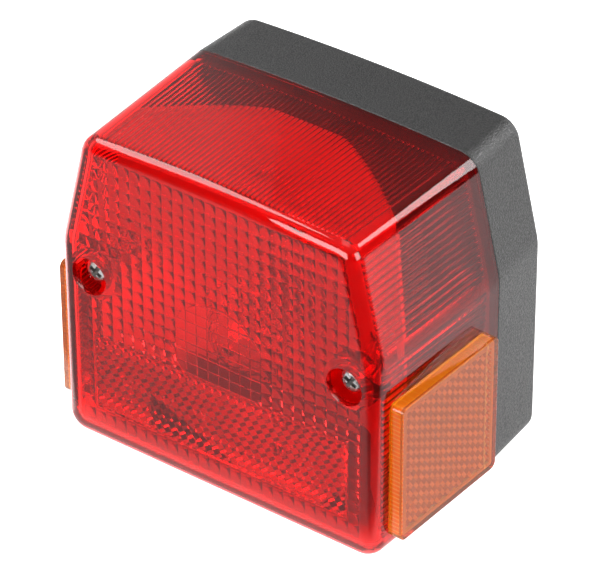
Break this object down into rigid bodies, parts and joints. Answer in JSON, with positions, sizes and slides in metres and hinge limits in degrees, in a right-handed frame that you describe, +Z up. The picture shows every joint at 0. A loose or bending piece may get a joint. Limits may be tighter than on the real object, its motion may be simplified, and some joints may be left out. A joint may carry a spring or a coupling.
{
  "type": "rear lamp",
  "caption": "Square rear lamp: ribbed red lens with reflex panel, amber side reflectors and a black base with rear studs.",
  "frame": {"origin": "point where the lamp axis, through bulb and lens eye, meets the rear mounting face, midway between the two studs", "axes": "+Z up, +Y out of the rear face along the studs, -Y the way the light shines, X across the lamp"},
  "size_m": [0.1156, 0.0901, 0.0996],
  "materials": {
    "base_plastic": "black grained moulding, satin",
    "red_lens": "clear red moulding, polished outside, ribbed inside",
    "amber_lens": "clear amber moulding with prisms inside",
    "seal_rubber": "black rubber",
    "plated_steel": "bright zinc plate",
    "bright_sheet": "polished aluminium sheet",
    "insulator": "brown laminated board",
    "contact_brass": "stamped brass",
    "bulb_glass": "clear glass"
  },
  "bodies": {
    "root": {"base_housing": "base_plastic", "lens": "red_lens", "left_side_reflector": "amber_lens", "right_side_reflector": "amber_lens", "lens_seal": "seal_rubber", "lens_screws": "plated_steel", "reflector_sheet": "bright_sheet", "sheet_screws": "plated_steel", "holder_shell": "plated_steel", "holder_rivets": "contact_brass", "contact_disc": "insulator", "contact_plungers": "contact_brass", "contact_springs": "plated_steel", "holder_end_plate": "insulator", "tail_terminal": "contact_brass", "stop_terminal": "contact_brass", "earth_terminal": "contact_brass", "bulb_cap": "contact_brass", "bulb_glass": "bulb_glass", "bulb_filaments": "plated_steel", "bulb_contacts": "plated_steel", "cable_grommet": "seal_rubber", "mounting_studs": "plated_steel"}
  },
  "joints": []
}
